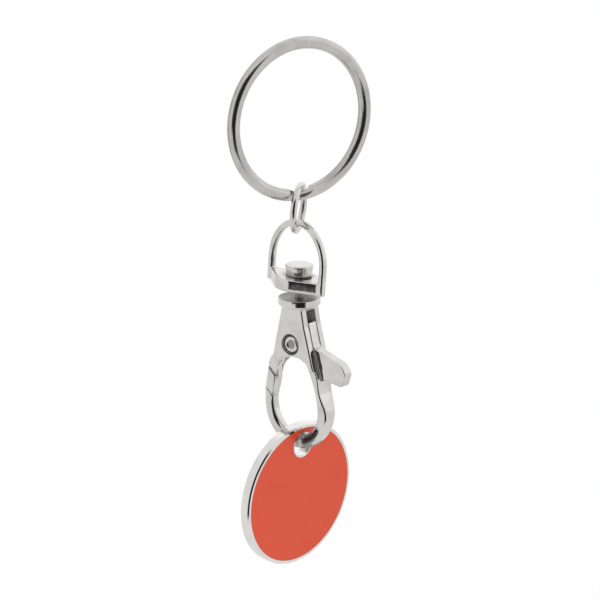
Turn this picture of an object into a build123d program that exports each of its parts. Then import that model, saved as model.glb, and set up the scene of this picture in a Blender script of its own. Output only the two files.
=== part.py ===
from build123d import *
from math import cos, degrees, radians, sin
import os

# Coin holder keyring in millimetres, hanging at rest below its key ring.
# The origin is the centre of the key ring and +Z is up. The trigger hook lies in the XZ plane:
# its pivot rivet faces -Y, its thumb tab points to +X and its gate is on the -X side.

# Split ring: one domed wire wound twice, flat side to flat side, with a step between its layers
ring_od = 25.5
ring_wire_width = 1.9           # across the ring
ring_wire_crown = 0.95          # rise of the wire's domed side, along the ring's axis
ring_wire_sole = 0.05           # rise of its nearly flat side
ring_layer_gap = 0.02
ring_heading = 73.0             # degrees from +X to the ring's plane
ring_step_length = 4.7          # the single strand between the two wire ends
ring_step_width = 1.4           # across the ring, where the strand steps over
ring_end_taper = 0.75
ring_step_sections = 8

# Jump ring
jump_od = 8.0
jump_wire = 1.05
jump_heading = 117.0
jump_lean = 4.6                 # degrees to the side, as a loose link hangs
jump_slide = 0.45               # its top from the split ring's plane, along the link
jump_seam = 0.05                # hairline where the wire's ends meet
jump_seam_angle = 40.0          # degrees up from the far side of the link
ring_link_gap = 0.22            # over the split ring's wire

# Swivel bail: arch and yoke
bail_heading = -7.5
bail_lean = 3.0                 # degrees, the loose bail hangs with its yoke a little forward
bail_roll = 2.5                 # degrees, and with its crown a little to the right
bail_shift = 0.7                # its crown from the link
bail_link_gap = 0.27
arch_width = 1.0                # in the arch's plane
arch_depth = 1.15
arch_corner = 0.42
arch_rise = 8.32                # yoke top to the arch's centre line
arch_half_span = 5.68
arch_crown_radius = 5.2
arch_crown_angle = 36.0         # degrees each side of the top
yoke_thickness = 1.9
yoke_boss_radius = 3.35
yoke_flank_end = 5.25           # from its middle to where its slanting sides meet the straight bar
yoke_hole_radius = 1.35

# Swivel rivet
rivet_neck = 1.3
rivet_head = 4.4
rivet_head_height = 1.62
rivet_head_taper = 0.25         # how much smaller its foot is, on the radius
rivet_head_edge = 0.25
rivet_play = 0.06               # over the yoke, on top of what the lean takes
rivet_foot = 1.8
rivet_foot_height = 0.4

# Hook body
collar_gap = 1.45               # below the yoke
collar_radius = 3.25
collar_height = 1.3
collar_chamfer = 0.3
body_thickness = 4.2
body_edge = 0.3
bend_x = -0.05
bend_drop = 17.5                # below the collar's top, as are all the drops
bend_radius = 5.4
spine_wire = 2.4
spine_end_width = 1.9            # where the spine meets the bend
spine_end_thickness = 2.6
bend_wire = 2.2
nose_wire = 1.75
arm_width = 1.6
arm_thickness = 2.0
slot_width = 1.95               # between the cheeks
slot_drop = 1.7
slot_end_drop = 12.3
slot_wall = 0.75
arm_slot_width = 1.1
mitre_angle = 45.0              # degrees, the slanting faces at the ends of the gate
upper_mitre_x = -4.5
upper_mitre_drop = 12.65
upper_mitre_gap = 0.3
lower_mitre_x = -5.2
lower_mitre_drop = 15.95
lower_mitre_gap = 0.1

# Gate lever
lever_thickness = 1.7
shank_thickness = 1.0
hub_radius = 1.4
tab_reach = 9.7                 # from the hook's middle to the tab's tip
lever_edge = 0.12

# Pivot rivet
pivot_x = -0.1
pivot_drop = 7.2
pivot_shaft = 1.4
pivot_head = 2.5
pivot_head_height = 0.4
pivot_clearance = 0.03          # on the radius, in the lever's hub
counterbore_radius = 1.65
counterbore_depth = 0.5
dimple_radius = 0.75
dimple_depth = 0.2

# Gate spring: a compression spring over a peg on the lever
spring_wire = 0.2
spring_od = 1.4
spring_turns = 3
spring_drop = 4.45
spring_length = 2.87
spring_end_gap = 0.02
spring_pocket_clearance = 0.1   # on the radius
peg_radius = 0.4
peg_length = 0.5

# Coin
coin_od = 22.75
coin_thickness = 1.75
coin_chamfer = 0.2
coin_rim = 0.58                 # metal rim round the enamel
coin_pan_depth = 0.15
coin_hole_radius = 1.85
coin_hole_wall = 1.48           # metal between the hole and the edge
coin_hole_rim = 0.2
coin_heading = -3.2             # degrees from +X to the coin's axis
coin_lean = 5.2                 # degrees that its face looks down
coin_link_gap = 0.29
enamel_below_rim = 0.03
enamel_clearance = 0.01

overrun = 0.4                   # how far cuts run past what they cut

os.makedirs("parts", exist_ok=True)


def heading(angle):
    """Level direction at an angle in degrees from +X."""
    return Vector(cos(radians(angle)), sin(radians(angle)), 0)


def save(solid, label):
    solid.label = label
    export_step(solid, f"parts/{label}.step")
    print(label, round(solid.volume, 3), len(solid.solids()), solid.is_valid)


up = Vector(0, 0, 1)

# Split ring
ring_radius = ring_od / 2
ring_inner_radius = ring_radius - ring_wire_width
ring_plane = Plane(origin=(0, 0, 0), x_dir=heading(ring_heading), z_dir=heading(ring_heading - 90))
ring_axis = Axis(ring_plane.origin, ring_plane.z_dir)
layer_offset = ring_wire_sole + ring_layer_gap / 2
step_half_angle = degrees(ring_step_length / 2 / ring_radius)
layer_start = -90 + step_half_angle
layer_turn = 360 - 2 * step_half_angle


def ring_section(angle, height):
    """Plane across the ring's wire, at an angle round the ring and a height along its axis."""
    radial = ring_plane.x_dir * cos(radians(angle)) + ring_plane.y_dir * sin(radians(angle))
    return Plane(
        origin=ring_plane.origin + ring_plane.z_dir * height,
        x_dir=radial,
        z_dir=radial.cross(ring_plane.z_dir),
    )


def ring_point(radius, angle):
    return (radius * cos(radians(angle)), radius * sin(radians(angle)))


def ring_wire_section(plane, width, front_rise, back_rise):
    """The wire's section: two half ellipses, whose rises are measured along the ring's axis."""
    with BuildSketch(plane) as section:
        with BuildLine():
            middle = (ring_radius - width / 2, 0)
            EllipticalCenterArc(middle, width / 2, front_rise, arc_size=180)
            EllipticalCenterArc(middle, width / 2, back_rise, 180, arc_size=180)
        make_face()
    return section.sketch


ring_sections = []
for step in range(ring_step_sections + 1):
    share = step / ring_step_sections
    ease = share * share * (3 - 2 * share)
    narrowing = sin(radians(180 * share)) * (ring_wire_width - ring_step_width)
    rise = ring_wire_crown - ring_wire_sole
    ring_sections.append(
        ring_wire_section(
            ring_section(layer_start - 2 * step_half_angle * share, layer_offset * (1 - 2 * ease)),
            ring_wire_width - narrowing,
            ring_wire_crown - rise * ease,
            ring_wire_sole + rise * ease,
        )
    )
front_section = ring_sections[0]
back_section = ring_wire_section(
    ring_section(layer_start, -layer_offset), ring_wire_width, ring_wire_sole, ring_wire_crown
)
with BuildPart() as split_ring:
    for section in (front_section, back_section):
        add(section)
        revolve(axis=ring_axis, revolution_arc=layer_turn)
    for section in ring_sections:
        add(section)
    loft()
    # each wire end is tapered on the outside of the ring
    taper_angle = degrees(ring_end_taper / ring_radius)
    overrun_angle = degrees(overrun / ring_radius)
    for side in (1, -1):
        end_angle = -90 - side * step_half_angle
        with BuildSketch(ring_plane):
            with BuildLine():
                Polyline(
                    ring_point(ring_inner_radius, end_angle),
                    ring_point(ring_radius + overrun, end_angle + side * overrun_angle),
                    ring_point(ring_radius + overrun, end_angle - side * taper_angle),
                    close=True,
                )
            make_face()
        extrude(amount=side * (layer_offset + ring_wire_crown + overrun), mode=Mode.SUBTRACT)
save(split_ring.part, "split_ring")

# Jump ring, hanging on the split ring's single strand
jump_radius = (jump_od - jump_wire) / 2
jump_inner_radius = jump_od / 2 - jump_wire
jump_side = heading(jump_heading - 90)
jump_up = up * cos(radians(jump_lean)) + jump_side * sin(radians(jump_lean))
jump_hold = up * (ring_step_width + ring_link_gap - ring_radius) + heading(jump_heading) * jump_slide
jump_plane = Plane(
    origin=jump_hold - jump_up * jump_inner_radius,
    x_dir=heading(jump_heading),
    z_dir=jump_side * cos(radians(jump_lean)) - up * sin(radians(jump_lean)),
)
seam_half_angle = degrees(jump_seam / 2 / jump_radius)
seam_start = radians(jump_seam_angle + seam_half_angle)
seam_radial = jump_plane.x_dir * cos(seam_start) + jump_plane.y_dir * sin(seam_start)
seam_plane = Plane(
    origin=jump_plane.origin, x_dir=seam_radial, z_dir=seam_radial.cross(jump_plane.z_dir)
)
with BuildPart() as jump_ring:
    with BuildSketch(seam_plane):
        with Locations((jump_radius, 0)):
            Circle(jump_wire / 2)
    revolve(axis=Axis(jump_plane.origin, jump_plane.z_dir), revolution_arc=360 - 2 * seam_half_angle)
save(jump_ring.part, "jump_ring")

# Swivel bail: it hangs by its arch on the bottom of the jump ring and leans about that wire
jump_foot = jump_plane.origin - jump_up * jump_radius
bail_forward = heading(bail_heading - 90)
bail_face = bail_forward * cos(radians(bail_lean)) + up * sin(radians(bail_lean))
bail_level = heading(bail_heading)
bail_across = bail_level.rotate(Axis((0, 0, 0), bail_face), -bail_roll)
bail_up = bail_face.cross(bail_across)
arch_top = jump_foot + bail_across * bail_shift
arch_top = arch_top + bail_up * (jump_wire / 2 + bail_link_gap + arch_width / 2)
yoke_top = arch_top - bail_up * arch_rise
bail_plane = Plane(origin=yoke_top, x_dir=bail_across, z_dir=bail_face)
yoke_plane = Plane(origin=yoke_top, x_dir=bail_across, z_dir=bail_up)
leg_foot_plane = Plane(
    origin=yoke_top - bail_across * arch_half_span - bail_up * yoke_thickness,
    x_dir=bail_across,
    z_dir=bail_up,
)

# the arch is three arcs tangent to each other and to the legs
crown_sine = sin(radians(arch_crown_angle))
crown_cosine = cos(radians(arch_crown_angle))
shoulder_radius = (arch_half_span - arch_crown_radius * crown_sine) / (1 - crown_sine)
shoulder_x = arch_half_span - shoulder_radius
shoulder_y = arch_rise - arch_crown_radius * (1 - crown_cosine) - shoulder_radius * crown_cosine
shoulder_turn = 90 - arch_crown_angle
with BuildPart() as swivel_bail:
    with BuildLine(bail_plane):
        Line((-arch_half_span, -yoke_thickness), (-arch_half_span, shoulder_y))
        CenterArc((-shoulder_x, shoulder_y), shoulder_radius, 180, -shoulder_turn)
        CenterArc(
            (0, arch_rise - arch_crown_radius), arch_crown_radius,
            90 + arch_crown_angle, -2 * arch_crown_angle,
        )
        CenterArc((shoulder_x, shoulder_y), shoulder_radius, shoulder_turn, -shoulder_turn)
        Line((arch_half_span, shoulder_y), (arch_half_span, -yoke_thickness))
    with BuildSketch(leg_foot_plane):
        RectangleRounded(arch_width, arch_depth, arch_corner)
    sweep()
    with BuildSketch(yoke_plane.offset(-yoke_thickness)):
        Circle(yoke_boss_radius)
        Rectangle(2 * yoke_flank_end, arch_depth)
        make_hull()
        Rectangle(2 * arch_half_span + arch_width - 2 * arch_corner, arch_depth)
    extrude(amount=yoke_thickness)
    with BuildSketch(yoke_plane.offset(overrun)):
        Circle(yoke_hole_radius)
    extrude(amount=-(yoke_thickness + 2 * overrun), mode=Mode.SUBTRACT)
save(swivel_bail.part, "swivel_bail")

# Swivel rivet: head over the yoke, neck through it, foot formed in the top of the hook's slot
collar_z = (yoke_top - bail_up * yoke_thickness).Z - collar_gap
lean_rise = rivet_head / 2 * sin(radians(bail_lean))
head_z = yoke_top.Z + lean_rise + rivet_play
slot_z = collar_z - slot_drop
with BuildPart() as swivel_rivet:
    with BuildSketch(Plane.XZ):
        with BuildLine():
            Polyline(
                (0, head_z + rivet_head_height),
                (rivet_head / 2, head_z + rivet_head_height),
                (rivet_head / 2 - rivet_head_taper, head_z),
                (rivet_neck / 2, head_z),
                (rivet_neck / 2, slot_z),
                (rivet_foot / 2, slot_z),
                (rivet_foot / 2, slot_z - rivet_foot_height),
                (0, slot_z - rivet_foot_height),
                close=True,
            )
        make_face()
    revolve(axis=Axis.Z)
    fillet(swivel_rivet.edges().group_by(Axis.Z)[-1], rivet_head_edge)
save(swivel_rivet.part, "swivel_rivet")

# Hook body. Its outlines lie on the XZ plane: x across, and the drop below the collar's top
# downwards, in shares of the bend's radius and of the bend's drop.
hook_plane = Plane(origin=(0, 0, collar_z), x_dir=(1, 0, 0), z_dir=(0, -1, 0))
left_edge_shares = ((-0.355, 0.07), (-0.39, 0.145), (-0.464, 0.245), (-0.58, 0.40), (-0.677, 0.554))
arch_edge_shares = (
    (-0.55, 0.60), (-0.44, 0.580), (-0.25, 0.543), (0.03, 0.52), (0.31, 0.525), (0.545, 0.56),
    (0.64, 0.62),
)
right_edge_shares = ((0.84, 0.62), (0.775, 0.556), (0.648, 0.411), (0.49, 0.234), (0.39, 0.07))
# centre, width, thickness and corner of the wire's sections down the spine and up the arm:
# places in shares of the bend's radius and drop, the rest of the spine's wire
spine_shares = (
    (0.580, 0.500, 0.46, 1.66, 0.10),
    (0.715, 0.611, 0.46, 1.60, 0.10),
    (0.835, 0.740, 0.46, 1.38, 0.12),
    (0.911, 0.850, 0.42, 1.31, 0.13),
)
arm_shares = (
    (-1.010, 0.960, 0.72, 0.74, 0.22),
    (-0.990, 0.897, 0.70, 0.78, 0.14),
    (-0.930, 0.806, 0.70, 0.83, 0.12),
    (-0.860, 0.686, 0.75, 0.83, 0.12),
    (-0.735, 0.600, 0.80, 0.90, 0.12),
    (-0.585, 0.520, 0.85, 1.10, 0.12),
)
bend_steps = 6
round_corner_share = 0.46
end_corner_share = 0.3           # where the bend meets the squarer spine and nose


def hook_points(shares):
    return [(x * bend_radius, -drop * bend_drop) for x, drop in shares]


def arm_points(shares):
    return [(x * bend_radius, -drop * upper_mitre_drop) for x, drop in shares]


def run_stations(table_of_shares):
    """Centre, run direction, width, thickness and corner of the sections in one table."""
    centres = [Vector(row[0] * bend_radius, -row[1] * bend_drop) for row in table_of_shares]
    stations = []
    for index, row in enumerate(table_of_shares):
        run = centres[min(index + 1, len(centres) - 1)] - centres[max(index - 1, 0)]
        sizes = [share * spine_wire for share in row[2:]]
        stations.append((centres[index], run.normalized(), *sizes))
    return stations


def bend_stations():
    """The same for the round bend, whose wire thins from the spine to the nose."""
    stations = []
    for step in range(bend_steps + 1):
        turn = -radians(180 * step / bend_steps)
        end_share = abs(2 * step / bend_steps - 1)
        end_sizes = (nose_wire, nose_wire)
        if 2 * step < bend_steps:
            end_sizes = (spine_end_width, spine_end_thickness)
        width, thickness = [bend_wire + (size - bend_wire) * end_share for size in end_sizes]
        centre = Vector(bend_x + bend_radius * cos(turn), bend_radius * sin(turn) - bend_drop)
        corner_share = round_corner_share + (end_corner_share - round_corner_share) * end_share**2
        run = Vector(sin(turn), -cos(turn))
        stations.append((centre, run, width, thickness, width * corner_share))
    return stations


def hook_wire():
    """Spine, bend, nose, gate and arm as one wire, before the gate is parted from it."""
    with BuildPart() as wire_form:
        for centre, run, width, thickness, corner in (
            run_stations(spine_shares) + bend_stations() + run_stations(arm_shares)
        ):
            along = hook_plane.x_dir * run.X + hook_plane.y_dir * run.Y
            middle = hook_plane.origin + hook_plane.x_dir * centre.X + hook_plane.y_dir * centre.Y
            with BuildSketch(Plane(origin=middle, x_dir=along.cross(hook_plane.z_dir), z_dir=along)):
                RectangleRounded(width, thickness, corner)
        loft()
    return wire_form.part


def gate_window(upper_gap, lower_gap):
    """The part of the wire's space between the two slanting faces, less half of each gap."""
    slant = Vector(cos(radians(mitre_angle)), -sin(radians(mitre_angle))) * arm_width
    normal = Vector(sin(radians(mitre_angle)), cos(radians(mitre_angle)))
    upper = Vector(upper_mitre_x, -upper_mitre_drop) - normal * upper_gap / 2
    lower = Vector(lower_mitre_x, -lower_mitre_drop) + normal * lower_gap / 2
    with BuildPart() as window:
        with BuildSketch(hook_plane):
            with BuildLine():
                Polyline(upper - slant, upper + slant, lower + slant, lower - slant, close=True)
            make_face()
        extrude(amount=arm_thickness, both=True)
    return window.part


wire_solid = hook_wire()
wire_opening = gate_window(-upper_mitre_gap, -lower_mitre_gap)
gate_end = wire_solid & gate_window(upper_mitre_gap, lower_mitre_gap)

slot_edge_shares = ((-0.355, 0.07), (-0.464, 0.245), (-0.575, 0.40), (-0.575, 0.45), (-0.30, 0.56))
# the arm's slot and the lever's shank, with their drops in shares of the upper slanting face's
arm_slot_shares = (
    (-0.41, 0.609), (-0.58, 0.692), (-0.765, 0.816), (-0.925, 0.941), (-0.95, 1.065),
    (-0.55, 1.065), (-0.30, 0.830), (-0.18, 0.692),
)
shank_shares = (
    (-0.30, 0.595), (-0.48, 0.692), (-0.725, 0.830), (-0.885, 0.955), (-0.91, 1.079),
    (-0.70, 1.079), (-0.70, 0.925), (-0.555, 0.825), (-0.44, 0.790), (-0.25, 0.735), (-0.03, 0.609),
)
spring_seat_x = hub_radius + pivot_x - peg_radius
spring_foot_x = spring_seat_x - spring_end_gap - spring_length - spring_end_gap
pivot = (pivot_x, -pivot_drop)
with BuildPart() as hook_body:
    with BuildSketch(hook_plane):
        with BuildLine():
            Polyline(
                *hook_points(left_edge_shares + arch_edge_shares + right_edge_shares), close=True
            )
        make_face()
    extrude(amount=body_thickness / 2, both=True)
    outline_edges = hook_body.faces().filter_by(Axis.Y).edges()
    fillet(outline_edges, body_edge)
    with BuildSketch(Plane.XY.offset(collar_z - collar_height)):
        Circle(collar_radius)
    extrude(amount=collar_height)
    collar_foot = hook_body.edges().filter_by(GeomType.CIRCLE)
    collar_foot = collar_foot.filter_by_position(Axis.Z, *[collar_z - collar_height] * 2)
    chamfer(collar_foot, collar_chamfer)
    add(wire_solid)
    add(wire_opening, mode=Mode.SUBTRACT)
    # slot for the lever, open to the right and over the opening
    slot_wall_points = [(x + slot_wall, y) for x, y in hook_points(slot_edge_shares)]
    with BuildSketch(hook_plane):
        with BuildLine():
            Polyline(
                (slot_wall_points[0][0], -slot_drop),
                *slot_wall_points[1:],
                (slot_wall_points[-1][0], -slot_end_drop),
                (tab_reach, -slot_end_drop),
                (tab_reach, -slot_drop),
                close=True,
            )
        make_face()
    extrude(amount=slot_width / 2, both=True, mode=Mode.SUBTRACT)
    # the narrower slot for the lever's shank, in the stub above the gate
    with BuildSketch(hook_plane):
        with BuildLine():
            Polyline(*arm_points(arm_slot_shares), close=True)
        make_face()
    extrude(amount=arm_slot_width / 2, both=True, mode=Mode.SUBTRACT)
    # pivot hole and its counterbores
    with BuildSketch(hook_plane):
        with Locations(pivot):
            Circle(pivot_shaft / 2)
    extrude(amount=body_thickness, both=True, mode=Mode.SUBTRACT)
    for side in (1, -1):
        with BuildSketch(hook_plane.offset(side * (body_thickness / 2 - counterbore_depth))):
            with Locations(pivot):
                Circle(counterbore_radius)
        extrude(amount=side * (counterbore_depth + overrun), mode=Mode.SUBTRACT)
    # hole for the swivel rivet
    with BuildSketch(Plane.XY.offset(collar_z + overrun)):
        Circle(rivet_neck / 2)
    extrude(amount=-(slot_drop + 2 * overrun), mode=Mode.SUBTRACT)
    # pocket for the gate spring, drilled in the left wall from the slot
    with BuildSketch(Plane(origin=(spring_foot_x, 0, collar_z - spring_drop), z_dir=(1, 0, 0))):
        Circle(spring_od / 2 + spring_pocket_clearance)
    extrude(amount=spring_length, mode=Mode.SUBTRACT)
save(hook_body.part, "hook_body")

# Pivot rivet, headed in both counterbores
with BuildPart() as pivot_rivet:
    with BuildSketch(hook_plane):
        with Locations(pivot):
            Circle(pivot_shaft / 2)
    extrude(amount=body_thickness / 2 - counterbore_depth, both=True)
    for side in (1, -1):
        with BuildSketch(hook_plane.offset(side * (body_thickness / 2 - counterbore_depth))):
            with Locations(pivot):
                Circle(pivot_head / 2)
        extrude(amount=side * pivot_head_height)
    with BuildSketch(hook_plane.offset(body_thickness / 2 - counterbore_depth + pivot_head_height)):
        with Locations(pivot):
            Circle(dimple_radius)
    extrude(amount=-dimple_depth, mode=Mode.SUBTRACT)
save(pivot_rivet.part, "pivot_rivet")

# Gate lever: hub and lobe in the slot, thumb tab, shank down to the gate's end
lobe_edge_shares = ((0.475, 0.206), (0.55, 0.297), (0.635, 0.403))
lever_foot_shares = ((0.66, 0.577), (0.44, 0.514), (-0.07, 0.50))
# the tab's outline, in shares of its reach and of the bend's drop
tab_top_shares = ((0.380, 0.422), (0.522, 0.447))
tab_tip_shares = ((0.866, 0.511), (0.954, 0.549), (1.0, 0.608), (0.968, 0.672), (0.866, 0.717))
tab_foot_shares = ((0.545, 0.686), (0.438, 0.674))


def tab_points(shares):
    return [(x * tab_reach, -drop * bend_drop) for x, drop in shares]


seat_top = (spring_seat_x, -spring_drop + spring_od / 2)
seat_foot = (spring_seat_x, -spring_drop - spring_od / 2)
with BuildPart() as gate_lever:
    with BuildSketch(hook_plane):
        with BuildLine():
            tab_top = tab_points(tab_top_shares)
            tab_tip = tab_points(tab_tip_shares)
            tab_foot = tab_points(tab_foot_shares)
            Polyline(
                tab_foot[0], tab_foot[1], *hook_points(lever_foot_shares),
                (pivot_x - hub_radius / 2, -pivot_drop + hub_radius),
                seat_foot, seat_top, *hook_points(lobe_edge_shares), *tab_top, tab_tip[0],
            )
            Spline(
                *tab_tip,
                tangents=(
                    Vector(*tab_tip[0]) - Vector(*tab_top[-1]),
                    Vector(*tab_foot[0]) - Vector(*tab_tip[-1]),
                ),
            )
            Line(tab_tip[-1], tab_foot[0])
        make_face()
        with Locations(pivot):
            Circle(hub_radius)
    extrude(amount=lever_thickness / 2, both=True)
    fillet(gate_lever.faces().filter_by(Axis.Y).edges(), lever_edge)
    with BuildSketch(hook_plane):
        with BuildLine():
            Polyline(*arm_points(shank_shares), close=True)
        make_face()
    extrude(amount=shank_thickness / 2, both=True)
    add(gate_end)
    with BuildSketch(hook_plane):
        with Locations(pivot):
            Circle(pivot_shaft / 2 + pivot_clearance)
    extrude(amount=lever_thickness, both=True, mode=Mode.SUBTRACT)
    with BuildSketch(Plane(origin=(spring_seat_x, 0, collar_z - spring_drop), z_dir=(-1, 0, 0))):
        Circle(peg_radius)
    extrude(amount=peg_length)
save(gate_lever.part, "gate_lever")

# Gate spring, from the pocket in the wall to the lever's face
coil_radius = (spring_od - spring_wire) / 2
coil_length = spring_length - spring_wire
with BuildPart() as gate_spring:
    with BuildLine():
        Helix(
            coil_length / spring_turns, coil_length, coil_radius,
            center=(spring_foot_x + spring_end_gap + spring_wire / 2, 0, collar_z - spring_drop),
            direction=(1, 0, 0),
        )
    coil_start = gate_spring.pending_edges[0]
    with BuildSketch(Plane(origin=coil_start @ 0, z_dir=coil_start % 0)):
        Circle(spring_wire / 2)
    sweep(is_frenet=True)
save(gate_spring.part, "gate_spring")

# Coin, hanging by its hole on the bottom of the bend
coin_axis = heading(coin_heading) * cos(radians(coin_lean)) - up * sin(radians(coin_lean))
coin_up = up * cos(radians(coin_lean)) + heading(coin_heading) * sin(radians(coin_lean))
bend_foot = Vector(bend_x, 0, collar_z - bend_drop - bend_radius)
coin_hole_to_centre = coin_od / 2 - coin_hole_wall - coin_hole_radius
hole_centre = bend_foot + coin_up * (bend_wire / 2 + coin_link_gap - coin_hole_radius)
coin_centre = hole_centre - coin_up * coin_hole_to_centre
coin_plane = Plane(origin=coin_centre, x_dir=coin_up, z_dir=coin_axis)
pan_radius = coin_od / 2 - coin_rim
with BuildPart() as coin_blank:
    with BuildSketch(coin_plane):
        Circle(coin_od / 2)
    extrude(amount=coin_thickness / 2, both=True)
    chamfer(coin_blank.edges(), coin_chamfer)
    for side in (1, -1):
        with BuildSketch(coin_plane.offset(side * (coin_thickness / 2 - coin_pan_depth))):
            Circle(pan_radius)
            with Locations((coin_hole_to_centre, 0)):
                Circle(coin_hole_radius + coin_hole_rim, mode=Mode.SUBTRACT)
        extrude(amount=side * (coin_pan_depth + overrun), mode=Mode.SUBTRACT)
    with BuildSketch(coin_plane):
        with Locations((coin_hole_to_centre, 0)):
            Circle(coin_hole_radius)
    extrude(amount=coin_thickness, both=True, mode=Mode.SUBTRACT)
save(coin_blank.part, "coin_blank")


def enamel_disc(side):
    """Enamel that fills one face's pan to just below the metal."""
    with BuildPart() as enamel:
        with BuildSketch(coin_plane.offset(side * (coin_thickness / 2 - coin_pan_depth))):
            Circle(pan_radius - enamel_clearance)
            with Locations((coin_hole_to_centre, 0)):
                Circle(coin_hole_radius + coin_hole_rim + enamel_clearance, mode=Mode.SUBTRACT)
        extrude(amount=side * (coin_pan_depth - enamel_below_rim))
    return enamel.part


save(enamel_disc(1), "enamel_front")
save(enamel_disc(-1), "enamel_back")
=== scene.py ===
from math import cos, pi, radians, sin

import bmesh
import bpy
from mathutils import Matrix, Vector


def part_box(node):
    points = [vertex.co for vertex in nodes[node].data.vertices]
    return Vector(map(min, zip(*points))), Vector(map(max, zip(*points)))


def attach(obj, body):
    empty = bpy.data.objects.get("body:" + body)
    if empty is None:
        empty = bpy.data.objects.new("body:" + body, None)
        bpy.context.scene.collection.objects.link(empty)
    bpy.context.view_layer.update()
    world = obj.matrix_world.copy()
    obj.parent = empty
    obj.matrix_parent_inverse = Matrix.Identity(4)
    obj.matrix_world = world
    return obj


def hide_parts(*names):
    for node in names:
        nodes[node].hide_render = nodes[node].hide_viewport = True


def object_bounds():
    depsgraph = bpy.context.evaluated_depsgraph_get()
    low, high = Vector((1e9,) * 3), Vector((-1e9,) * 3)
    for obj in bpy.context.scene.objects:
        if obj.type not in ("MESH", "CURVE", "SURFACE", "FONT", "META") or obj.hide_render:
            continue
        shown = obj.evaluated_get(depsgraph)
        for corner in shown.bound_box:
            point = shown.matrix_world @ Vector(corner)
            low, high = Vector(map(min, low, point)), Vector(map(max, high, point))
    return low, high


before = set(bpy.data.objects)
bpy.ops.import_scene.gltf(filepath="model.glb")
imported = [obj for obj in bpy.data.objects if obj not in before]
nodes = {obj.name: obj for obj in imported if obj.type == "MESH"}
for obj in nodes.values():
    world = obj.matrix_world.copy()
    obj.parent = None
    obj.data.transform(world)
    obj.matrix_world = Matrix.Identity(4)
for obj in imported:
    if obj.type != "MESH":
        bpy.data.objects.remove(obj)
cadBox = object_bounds()
scene = bpy.context.scene
mm = 0.001

# where the photograph was taken from; turns in degrees, lengths in metres
cameraSetup = {
    "azimuth": 40.0,
    "elevation": 15.8,
    "distance": 1.0,
    "target": (0.0000747, 0.0000627, -0.028462),
    "lens": 393.9,
    "sensor": 36.0,
}


def cameraAxes():
    azimuth, elevation = radians(cameraSetup["azimuth"]), radians(cameraSetup["elevation"])
    back = Vector((sin(azimuth) * cos(elevation), -cos(azimuth) * cos(elevation), sin(elevation)))
    right = Vector((cos(azimuth), sin(azimuth), 0))
    return right, back.cross(right), back


def makeCamera():
    right, upward, back = cameraAxes()
    data = bpy.data.cameras.new("photoCamera")
    data.lens = cameraSetup["lens"]
    data.sensor_width = cameraSetup["sensor"]
    data.clip_start = 0.01
    camera = bpy.data.objects.new("photoCamera", data)
    place = Vector(cameraSetup["target"]) + back * cameraSetup["distance"]
    turned = Matrix((right, upward, back)).transposed().to_4x4()
    camera.matrix_world = Matrix.Translation(place) @ turned
    scene.collection.objects.link(camera)
    scene.camera = camera


makeCamera()
print("camera in place")


# short helpers for node trees: every one returns the output socket
def addNode(tree, kind, **settings):
    node = tree.nodes.new(kind)
    for name, value in settings.items():
        setattr(node, name, value)
    return node


def feed(tree, socket, value):
    if isinstance(value, bpy.types.NodeSocket):
        tree.links.new(value, socket)
    else:
        socket.default_value = value


def calc(tree, operation, *values):
    node = addNode(tree, "ShaderNodeMath", operation=operation)
    for socket, value in zip(node.inputs, values):
        feed(tree, socket, value)
    return node.outputs[0]


def vectorCalc(tree, operation, *values):
    node = addNode(tree, "ShaderNodeVectorMath", operation=operation)
    for socket, value in zip(node.inputs, values):
        feed(tree, socket, value)
    return node.outputs["Value" if operation in ("DOT_PRODUCT", "LENGTH") else "Vector"]


def remap(tree, value, low, high, outLow=0.0, outHigh=1.0):
    node = addNode(tree, "ShaderNodeMapRange", interpolation_type="SMOOTHSTEP")
    for name, given in zip(
        ("Value", "From Min", "From Max", "To Min", "To Max"), (value, low, high, outLow, outHigh)
    ):
        feed(tree, node.inputs[name], given)
    return node.outputs["Result"]


def mixColor(tree, factor, first, second):
    node = addNode(tree, "ShaderNodeMix", data_type="RGBA")
    # the colour sockets of this node come after its number and vector sockets
    for place, value in ((0, factor), (6, first), (7, second)):
        feed(tree, node.inputs[place], value)
    return node.outputs[2]


def noise(tree, vector, scale, detail=2.0, roughness=0.5, distortion=0.0):
    node = addNode(tree, "ShaderNodeTexNoise")
    for name, value in (
        ("Vector", vector), ("Scale", scale), ("Detail", detail),
        ("Roughness", roughness), ("Distortion", distortion),
    ):
        feed(tree, node.inputs[name], value)
    return node.outputs["Fac"]


# the white tent round the object as metal reflects it: soft panels by their angle from the
# camera's side, in degrees, with the lowest and highest slope that they reach
studioLook = {
    "background": 1.0,
    "softLight": 0.72,
    "tent": 0.88,
    "panels": (
        {   # dark, beside the camera
            "angle": 6, "halfWidth": 22, "edge": 10,
            "low": -0.5, "high": 0.66, "fade": 0.15, "level": 0.02,
        },
        {   # dark, to the camera's left
            "angle": -27, "halfWidth": 11, "edge": 7,
            "low": -0.252, "high": 0.66, "fade": 0.015, "level": 0.03,
        },
        {   # bright, behind the object
            "angle": 150, "halfWidth": 55, "edge": 25,
            "low": 0.1, "high": 0.8, "fade": 0.15, "level": 1.1,
        },
    ),
}


def panelMask(tree, level, slope, panel):
    angle = radians(panel["angle"] - 90 + cameraSetup["azimuth"])
    facing = vectorCalc(tree, "DOT_PRODUCT", level, (cos(angle), sin(angle), 0))
    inner, outer = radians(panel["halfWidth"]), radians(panel["halfWidth"] + panel["edge"])
    across = remap(tree, facing, cos(outer), cos(inner))
    over = remap(tree, slope, panel["low"] - panel["fade"], panel["low"])
    under = remap(tree, slope, panel["high"], panel["high"] + panel["fade"], 1.0, 0.0)
    return calc(tree, "MULTIPLY", calc(tree, "MULTIPLY", across, over), under)


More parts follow.
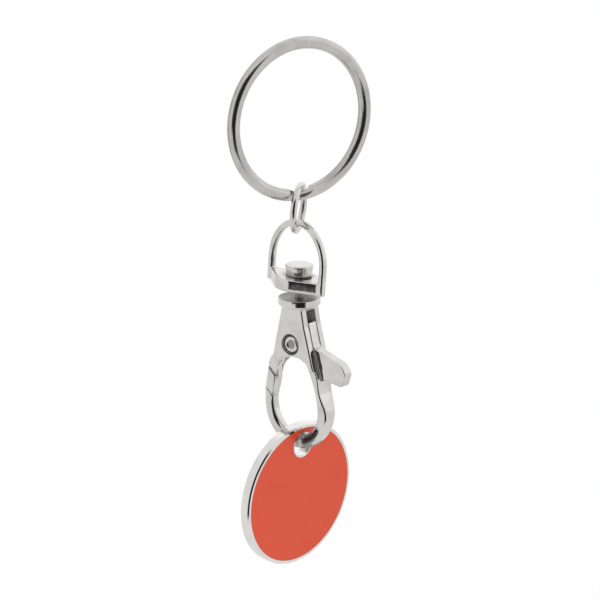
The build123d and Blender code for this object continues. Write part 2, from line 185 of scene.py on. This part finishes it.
def makeWorld():
    world = bpy.data.worlds.new("whiteTent")
    scene.world = world
    world.use_nodes = True
    tree = world.node_tree
    tree.nodes.clear()
    direction = addNode(tree, "ShaderNodeTexCoord").outputs["Generated"]
    slope = addNode(tree, "ShaderNodeSeparateXYZ")
    feed(tree, slope.inputs[0], direction)
    level = vectorCalc(tree, "NORMALIZE", vectorCalc(tree, "MULTIPLY", direction, (1, 1, 0)))
    seenColor = (studioLook["tent"],) * 3 + (1,)
    for panel in studioLook["panels"]:
        mask = panelMask(tree, level, slope.outputs["Z"], panel)
        seenColor = mixColor(tree, mask, seenColor, (panel["level"],) * 3 + (1,))
    path = addNode(tree, "ShaderNodeLightPath")
    shiny = calc(
        tree, "MAXIMUM", path.outputs["Is Glossy Ray"], path.outputs["Is Transmission Ray"]
    )
    softColor = (studioLook["softLight"],) * 3 + (1,)
    lit = mixColor(tree, shiny, softColor, seenColor)
    shown = mixColor(
        tree, path.outputs["Is Camera Ray"], lit, (studioLook["background"],) * 3 + (1,)
    )
    background = addNode(tree, "ShaderNodeBackground")
    feed(tree, background.inputs["Color"], shown)
    output = addNode(tree, "ShaderNodeOutputWorld")
    tree.links.new(background.outputs[0], output.inputs[0])


# soft lamps round the object: angles in degrees from the camera's side, places and sizes in
# metres, power in watts
lamps = (
    {"name": "keyLamp", "angle": -55, "height": 0.35, "reach": 0.60, "size": 0.45, "power": 1.0},
    {"name": "fillLamp", "angle": 75, "height": 0.20, "reach": 0.70, "size": 0.50, "power": 0.55},
    {"name": "topLamp", "angle": 170, "height": 0.60, "reach": 0.30, "size": 0.60, "power": 0.8},
)


def makeLamps():
    target = Vector(cameraSetup["target"])
    for lamp in lamps:
        angle = radians(lamp["angle"] - 90 + cameraSetup["azimuth"])
        data = bpy.data.lights.new(lamp["name"], "AREA")
        data.size = lamp["size"]
        data.energy = lamp["power"]
        light = bpy.data.objects.new(lamp["name"], data)
        reach = lamp["reach"]
        place = target + Vector((cos(angle) * reach, sin(angle) * reach, lamp["height"]))
        turned = (place - target).to_track_quat("Z", "Y").to_matrix().to_4x4()
        light.matrix_world = Matrix.Translation(place) @ turned
        light.visible_glossy = False  # the tent's panels are what metal shows
        scene.collection.objects.link(light)


# the pale floor under the object, lengths in metres
floorLook = {
    "drop": 0.110,        # under the object's lowest point
    "radius": 3.0,
    "segments": 96,
    "color": (0.93, 0.93, 0.925, 1),
    "grainColor": (0.95, 0.95, 0.95, 1),
    "grainScale": 40.0,
    "shadowRadius": 0.12,
    "shadowFade": 0.25,
    "shadowShare": 0.5,
}


def makeFloor():
    mesh = bpy.data.meshes.new("floor")
    form = bmesh.new()
    bmesh.ops.create_circle(
        form, cap_ends=True, segments=floorLook["segments"], radius=floorLook["radius"]
    )
    form.to_mesh(mesh)
    form.free()
    floor = bpy.data.objects.new("floor", mesh)
    floor.location.z = cadBox[0].z - floorLook["drop"]
    floor.visible_glossy = False
    scene.collection.objects.link(floor)
    material = bpy.data.materials.new("paleFloor")
    material.use_nodes = True
    tree = material.node_tree
    tree.nodes.clear()
    diffuse = addNode(tree, "ShaderNodeBsdfDiffuse")
    position = addNode(tree, "ShaderNodeTexCoord").outputs["Object"]
    grain = noise(tree, position, floorLook["grainScale"], detail=3.0)
    tone = mixColor(tree, grain, floorLook["color"], floorLook["grainColor"])
    feed(tree, diffuse.inputs["Color"], tone)
    white = addNode(tree, "ShaderNodeEmission")
    away = remap(
        tree, vectorCalc(tree, "LENGTH", position), floorLook["shadowRadius"],
        floorLook["shadowRadius"] + floorLook["shadowFade"], 1 - floorLook["shadowShare"], 1.0,
    )
    path = addNode(tree, "ShaderNodeLightPath")
    mixed = addNode(tree, "ShaderNodeMixShader")
    feed(tree, mixed.inputs[0], calc(tree, "MULTIPLY", path.outputs["Is Camera Ray"], away))
    tree.links.new(diffuse.outputs[0], mixed.inputs[1])
    tree.links.new(white.outputs[0], mixed.inputs[2])
    # seen from below it is clear
    clear = addNode(tree, "ShaderNodeBsdfTransparent")
    sided = addNode(tree, "ShaderNodeMixShader")
    feed(tree, sided.inputs[0], addNode(tree, "ShaderNodeNewGeometry").outputs["Backfacing"])
    tree.links.new(mixed.outputs[0], sided.inputs[1])
    tree.links.new(clear.outputs[0], sided.inputs[2])
    output = addNode(tree, "ShaderNodeOutputMaterial")
    tree.links.new(sided.outputs[0], output.inputs["Surface"])
    mesh.materials.append(material)


makeWorld()
makeLamps()
makeFloor()
scene.view_settings.view_transform = "Standard"
print("studio in place")


# what all the plating has in common; spans are the values between which a mask changes
platingLook = {
    "cloudSpan": (0.35, 0.7),
    "shadeSamples": 12,
    "closedSpan": (0.1, 0.8),     # from a closed place to an open one
    "closedMetal": 0.8,           # share of its mirror that a closed place loses
    "closedHaze": 0.35,           # roughness that it gains
    "topSlope": (0.85, 0.97),     # how level a top is
    "topSpan": (0.35, 0.85),
    "cloudShare": 0.6,
    "lineShare": 0.4,
    "hazeSpan": (0.3, 0.75),
    "bump": 0.000012,             # metres
}


# plating over metal: slow tone changes, fine polishing lines, crevices dulled by thin plating and
# painted shade, and painted
#  shade on tops under another piece
def makePlatingGroup():
    group = bpy.data.node_groups.new("platedMetal", "ShaderNodeTree")
    for name, kind, value in (
        ("Vector", "NodeSocketVector", None),
        ("Line Vector", "NodeSocketVector", None),
        ("Bright", "NodeSocketColor", (0.66, 0.645, 0.61, 1)),
        ("Deep", "NodeSocketColor", (0.56, 0.55, 0.53, 1)),
        ("Dull And Painted Shade", "NodeSocketColor", (0.55, 0.54, 0.51, 1)),
        ("Painted Top Shade Color", "NodeSocketColor", (0.055, 0.052, 0.045, 1)),
        ("Cloud Scale", "NodeSocketFloat", 400.0),
        ("Line Scale", "NodeSocketFloat", 9000.0),
        ("Line Depth", "NodeSocketFloat", 0.15),
        ("Wave Scale", "NodeSocketFloat", 700.0),
        ("Wave Depth", "NodeSocketFloat", 0.6),
        ("Crevice Reach", "NodeSocketFloat", 0.0006),
        ("Crevice Depth", "NodeSocketFloat", 0.6),
        ("Top Shade", "NodeSocketFloat", 0.0),
        ("Polish", "NodeSocketFloat", 0.08),
        ("Haze", "NodeSocketFloat", 0.16),
    ):
        socket = group.interface.new_socket(name, in_out="INPUT", socket_type=kind)
        if value is not None:
            socket.default_value = value
    group.interface.new_socket("Color", in_out="OUTPUT", socket_type="NodeSocketColor")
    group.interface.new_socket("Roughness", in_out="OUTPUT", socket_type="NodeSocketFloat")
    group.interface.new_socket("Metallic", in_out="OUTPUT", socket_type="NodeSocketFloat")
    group.interface.new_socket("Height", in_out="OUTPUT", socket_type="NodeSocketFloat")
    given = addNode(group, "NodeGroupInput").outputs
    result = addNode(group, "NodeGroupOutput").inputs
    clouds = noise(group, given["Vector"], given["Cloud Scale"], detail=3.0, roughness=0.55)
    cloudMask = remap(group, clouds, *platingLook["cloudSpan"])
    tone = mixColor(group, cloudMask, given["Bright"], given["Deep"])
    shade = addNode(group, "ShaderNodeAmbientOcclusion", samples=platingLook["shadeSamples"])
    feed(group, shade.inputs["Distance"], given["Crevice Reach"])
    # closed places: thin plating and painted shade, a darker dull grey instead of a mirror
    closed = calc(
        group, "MULTIPLY", given["Crevice Depth"],
        remap(group, shade.outputs["AO"], *platingLook["closedSpan"], 1.0, 0.0),
    )
    dulledAndShaded = mixColor(group, closed, tone, given["Dull And Painted Shade"])
    # flat tops under another piece get a painted reflection of its dark underside
    facing = addNode(group, "ShaderNodeSeparateXYZ")
    feed(group, facing.inputs[0], addNode(group, "ShaderNodeTexCoord").outputs["Normal"])
    paintedTopShadeMask = calc(
        group, "MULTIPLY", remap(group, facing.outputs["Z"], *platingLook["topSlope"]),
        remap(group, shade.outputs["AO"], *platingLook["topSpan"], 1.0, 0.0),
    )
    paintedTopShadeMask = calc(group, "MULTIPLY", paintedTopShadeMask, given["Top Shade"])
    feed(group, result["Color"], mixColor(group, paintedTopShadeMask, dulledAndShaded, given["Painted Top Shade Color"]))
    lost = calc(group, "MULTIPLY", closed, platingLook["closedMetal"])
    feed(group, result["Metallic"], calc(group, "SUBTRACT", 1.0, lost))
    lines = noise(group, given["Line Vector"], given["Line Scale"], roughness=0.6)
    haze = calc(
        group, "ADD", calc(group, "MULTIPLY", clouds, platingLook["cloudShare"]),
        calc(group, "MULTIPLY", lines, platingLook["lineShare"]),
    )
    rough = remap(group, haze, *platingLook["hazeSpan"], given["Polish"], given["Haze"])
    gained = calc(group, "MULTIPLY", closed, platingLook["closedHaze"])
    feed(group, result["Roughness"], calc(group, "ADD", rough, gained))
    waves = noise(group, given["Vector"], given["Wave Scale"], detail=1.5, roughness=0.45)
    height = calc(
        group, "ADD", calc(group, "MULTIPLY", waves, given["Wave Depth"]),
        calc(group, "MULTIPLY", lines, given["Line Depth"]),
    )
    feed(group, result["Height"], height)
    return group


platingGroup = makePlatingGroup()

ringFinish = {
    "Bright": (0.58, 0.57, 0.545, 1),
    "Deep": (0.48, 0.47, 0.45, 1),
    "Cloud Scale": 260.0,
    "Line Scale": 5200.0,
    "Line Depth": 0.20,
    "Wave Scale": 500.0,
    "Wave Depth": 0.35,
    "Crevice Reach": 0.0008,
    "Crevice Depth": 0.7,
    "Polish": 0.15,
    "Haze": 0.25,
}
linkFinish = dict(ringFinish, Bright=(0.68, 0.67, 0.64, 1), Deep=(0.60, 0.59, 0.57, 1))
castFinish = {
    "Bright": (0.69, 0.68, 0.65, 1),
    "Deep": (0.60, 0.59, 0.57, 1),
    "Cloud Scale": 330.0,
    "Line Scale": 2600.0,
    "Line Depth": 0.05,
    "Wave Scale": 620.0,
    "Wave Depth": 0.8,
    "Crevice Reach": 0.0026,
    "Crevice Depth": 0.95,
    # painted shade on flat tops under another piece
    "Top Shade": 0.95,
    "Polish": 0.06,
    "Haze": 0.14,
}
coinFinish = {
    "Bright": (0.82, 0.81, 0.79, 1),
    "Deep": (0.74, 0.73, 0.71, 1),
    "Cloud Scale": 300.0,
    "Line Scale": 4200.0,
    "Line Depth": 0.10,
    "Wave Scale": 450.0,
    "Wave Depth": 0.4,
    "Crevice Reach": 0.0003,
    "Crevice Depth": 0.6,
    "Polish": 0.07,
    "Haze": 0.15,
}
rivetFinish = dict(castFinish, Polish=0.09, Haze=0.2)
punchedFinish = dict(
    ringFinish, Bright=(0.34, 0.33, 0.31, 1), Deep=(0.24, 0.235, 0.22, 1), Polish=0.3, Haze=0.45
)
springFinish = dict(
    ringFinish, Bright=(0.5, 0.5, 0.5, 1), Deep=(0.36, 0.36, 0.37, 1), Polish=0.22, Haze=0.35
)


# the painted shadow in the gap round the pivot rivet's head: radius and soft edge in millimetres
pivotGapShadowLook = {"radius": 1.56, "edge": 0.06, "color": (0.05, 0.047, 0.04, 1)}


def paintPivotGapShadow(material):
    tree = material.node_tree
    color = tree.nodes["Principled BSDF"].inputs["Base Color"]
    low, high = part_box("pivot_rivet")
    centre = (Vector(low) + Vector(high)) / 2
    place = addNode(tree, "ShaderNodeTexCoord").outputs["Object"]
    offset = vectorCalc(tree, "SUBTRACT", place, tuple(centre))
    reach = vectorCalc(tree, "LENGTH", vectorCalc(tree, "MULTIPLY", offset, (1, 0, 1)))
    outer = pivotGapShadowLook["radius"] + pivotGapShadowLook["edge"]
    mask = remap(tree, reach, pivotGapShadowLook["radius"] * mm, outer * mm, 1.0, 0.0)
    # painted shadow: the base colour goes dark inside the gap's radius
    feed(tree, color, mixColor(tree, mask, color.links[0].from_socket, pivotGapShadowLook["color"]))


def metalMaterial(name, finish, stretch=(1, 1, 1)):
    material = bpy.data.materials.new(name)
    material.use_nodes = True
    tree = material.node_tree
    shader = tree.nodes["Principled BSDF"]
    place = addNode(tree, "ShaderNodeTexCoord").outputs["Object"]
    group = addNode(tree, "ShaderNodeGroup", node_tree=platingGroup)
    feed(tree, group.inputs["Vector"], place)
    feed(tree, group.inputs["Line Vector"], vectorCalc(tree, "MULTIPLY", place, stretch))
    for key, value in finish.items():
        group.inputs[key].default_value = value
    feed(tree, shader.inputs["Metallic"], group.outputs["Metallic"])
    feed(tree, shader.inputs["Base Color"], group.outputs["Color"])
    feed(tree, shader.inputs["Roughness"], group.outputs["Roughness"])
    bump = addNode(tree, "ShaderNodeBump")
    bump.inputs["Distance"].default_value = platingLook["bump"]
    feed(tree, bump.inputs["Height"], group.outputs["Height"])
    feed(tree, shader.inputs["Normal"], bump.outputs["Normal"])
    return material


enamelLook = {
    "color": (0.790, 0.088, 0.035, 1),
    "deep": (0.770, 0.082, 0.031, 1),
    "rim": (0.36, 0.040, 0.018, 1),
    "rimReach": 0.0004,           # metres from the metal rim
    "rimSpan": (0.55, 0.95),
    "flowScale": 180.0,
    "flowSpan": (0.35, 0.7),
    "flowShare": 0.8,
    "speckScale": 2600.0,
    "speckSpan": (0.3, 0.7),
    "speckShare": 0.08,
    "roughness": 0.16,
    "roughnessGain": 0.07,        # where it is specked
    "specular": 0.3,
    "bump": 0.000012,
}


def enamelMaterial():
    material = bpy.data.materials.new("orangeEnamel")
    material.use_nodes = True
    tree = material.node_tree
    shader = tree.nodes["Principled BSDF"]
    place = addNode(tree, "ShaderNodeTexCoord").outputs["Object"]
    flow = noise(tree, place, enamelLook["flowScale"], detail=3.0, distortion=0.6)
    speck = noise(tree, place, enamelLook["speckScale"])
    flowMask = remap(tree, flow, *enamelLook["flowSpan"])
    tone = mixColor(tree, flowMask, enamelLook["color"], enamelLook["deep"])
    # painted shadow: the enamel goes dark brown along its edge against the metal rim
    shade = addNode(tree, "ShaderNodeAmbientOcclusion", samples=platingLook["shadeSamples"])
    shade.inputs["Distance"].default_value = enamelLook["rimReach"]
    edge = remap(tree, shade.outputs["AO"], *enamelLook["rimSpan"], 1.0, 0.0)
    feed(tree, shader.inputs["Base Color"], mixColor(tree, edge, tone, enamelLook["rim"]))
    roughest = enamelLook["roughness"] + enamelLook["roughnessGain"]
    rough = remap(tree, speck, *enamelLook["speckSpan"], enamelLook["roughness"], roughest)
    feed(tree, shader.inputs["Roughness"], rough)
    shader.inputs["Specular IOR Level"].default_value = enamelLook["specular"]
    bump = addNode(tree, "ShaderNodeBump")
    bump.inputs["Distance"].default_value = enamelLook["bump"]
    height = calc(
        tree, "ADD", calc(tree, "MULTIPLY", flow, enamelLook["flowShare"]),
        calc(tree, "MULTIPLY", speck, enamelLook["speckShare"]),
    )
    feed(tree, bump.inputs["Height"], height)
    feed(tree, shader.inputs["Normal"], bump.outputs["Normal"])
    return material


nickelWire = metalMaterial("nickelWire", ringFinish, (1, 1, 0.08))
nickelLink = metalMaterial("nickelLink", linkFinish, (1, 1, 0.3))
nickelCasting = metalMaterial("nickelCasting", castFinish, (1, 1, 0.15))
nickelHook = metalMaterial("nickelHook", castFinish, (1, 1, 0.15))
paintPivotGapShadow(nickelHook)
nickelCoin = metalMaterial("nickelCoin", coinFinish, (1, 0.1, 0.1))
rivetSteel = metalMaterial("rivetSteel", rivetFinish)
punchedSteel = metalMaterial("punchedSteel", punchedFinish)
springSteel = metalMaterial("springSteel", springFinish)
enamelOrange = enamelMaterial()
print("finishes made")


def dress(piece, material):
    if not piece.material_slots:
        piece.data.materials.append(material)
    for slot in piece.material_slots:
        slot.material = material


for nodeName, material in (
    ("split_ring", nickelWire),
    ("jump_ring", nickelLink),
    ("swivel_bail", nickelCasting),
    ("swivel_rivet", rivetSteel),
    ("hook_body", nickelHook),
    ("gate_lever", nickelCasting),
    ("pivot_rivet", rivetSteel),
    ("gate_spring", springSteel),
    ("coin_blank", nickelCoin),
    ("enamel_front", enamelOrange),
    ("enamel_back", enamelOrange),
):
    dress(nodes[nodeName], material)
for nodeName in ("enamel_front", "enamel_back"):
    nodes[nodeName].visible_glossy = False  # as in the photograph, the hook doesn't mirror it

# the cast pieces again, with the edges rounded as casting and polishing leave them: the skin's
# grain and what it is swollen by before that, in millimetres, and the number of smoothing passes
softPieces = (
    {
        "name": "hookCasting", "node": "hook_body", "body": "hook", "slot": "nickel_zinc",
        "voxel": 0.07, "passes": 12, "swell": 0.0,
    },
    {
        "name": "leverCasting", "node": "gate_lever", "body": "gate", "slot": "nickel_zinc",
        "voxel": 0.05, "passes": 10, "swell": 0.0,
    },
    {
        "name": "bailCasting", "node": "swivel_bail", "body": "bail", "slot": "nickel_zinc",
        "voxel": 0.08, "passes": 50, "swell": 0.03,
    },
)
weldDistance = 0.0005  # millimetres


def softCopy(look):
    source = nodes[look["node"]]
    form = bmesh.new()
    form.from_mesh(source.data)
    bmesh.ops.remove_doubles(form, verts=form.verts, dist=weldDistance * mm)
    mesh = bpy.data.meshes.new(look["name"])
    form.to_mesh(mesh)
    form.free()
    piece = bpy.data.objects.new(look["name"], mesh)
    scene.collection.objects.link(piece)
    skin = piece.modifiers.new("skin", "REMESH")
    skin.mode = "VOXEL"
    skin.voxel_size = look["voxel"] * mm
    skin.use_smooth_shade = True
    swell = piece.modifiers.new("swell", "DISPLACE")
    swell.mid_level = 0
    swell.strength = look["swell"] * mm
    soften = piece.modifiers.new("soften", "SMOOTH")
    soften.factor = 0.5
    soften.iterations = look["passes"]
    depsgraph = bpy.context.evaluated_depsgraph_get()
    baked = bpy.data.meshes.new_from_object(piece.evaluated_get(depsgraph))
    piece.modifiers.clear()
    piece.data = baked
    baked.name = look["name"]
    dress(piece, source.material_slots[0].material)
    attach(piece, look["body"])
    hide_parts(look["node"])
    print(look["name"], len(baked.polygons), "faces")


for look in softPieces:
    softCopy(look)
print("pieces dressed")

# the pivot rivet again, its head turned with a rounded rim and a dimple: radius and height
# above the floor of the counterbore, in millimetres, from the middle outwards
pivotLook = {
    "front": (
        (0, 0.2), (0.35, 0.2), (0.52, 0.205), (0.62, 0.23), (0.69, 0.29), (0.76, 0.36),
        (0.85, 0.395), (0.95, 0.4), (1.05, 0.38), (1.14, 0.33), (1.21, 0.25), (1.25, 0.14),
        (1.25, 0.0),
    ),
    "punched": 0.7,       # the dull mark of the riveting tool
    "back": ((0, 0.4), (0.95, 0.39), (1.10, 0.35), (1.20, 0.26), (1.25, 0.12), (1.25, 0.0)),
    "seat": 1.6,          # from the middle to the counterbore's floor
    "shaft": 0.7,         # radius
    "segments": 72,
}


def turnedPiece(name, outline, centre, segments, punched):
    # outline: radius and place along the Y axis; faces inside the punched radius take material 2
    form = bmesh.new()
    rings = []
    for radius, along in outline:
        count = 1 if radius == 0 else segments
        rings.append([
            form.verts.new((
                centre.x + radius * mm * cos(2 * pi * step / count), centre.y + along * mm,
                centre.z + radius * mm * sin(2 * pi * step / count),
            ))
            for step in range(count)
        ])
    for first, second in zip(rings, rings[1:]):
        for step in range(segments):
            corners = []
            for ring, places in ((first, (step, step + 1)), (second, (step + 1, step))):
                corners += [ring[place % len(ring)] for place in places][: len(ring)]
            face = form.faces.new(corners)
            face.smooth = True
            widest = max((vert.co - centre).xz.length for vert in face.verts)
            inFront = face.verts[0].co.y < centre.y
            face.material_index = 1 if inFront and widest < punched * mm else 0
    bmesh.ops.recalc_face_normals(form, faces=form.faces)
    mesh = bpy.data.meshes.new(name)
    form.to_mesh(mesh)
    form.free()
    piece = bpy.data.objects.new(name, mesh)
    scene.collection.objects.link(piece)
    return piece


def makePivot():
    low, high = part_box("pivot_rivet")
    centre = (Vector(low) + Vector(high)) / 2
    front = [(radius, -pivotLook["seat"] - height) for radius, height in pivotLook["front"]]
    back = [(radius, pivotLook["seat"] + height) for radius, height in reversed(pivotLook["back"])]
    shaft = [(pivotLook["shaft"], -pivotLook["seat"]), (pivotLook["shaft"], pivotLook["seat"])]
    piece = turnedPiece(
        "pivotHeads", front + shaft + back, centre, pivotLook["segments"], pivotLook["punched"]
    )
    piece.data.materials.append(rivetSteel)
    piece.data.materials.append(punchedSteel)
    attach(piece, "hook")
    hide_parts("pivot_rivet")


makePivot()
print("pivot turned")
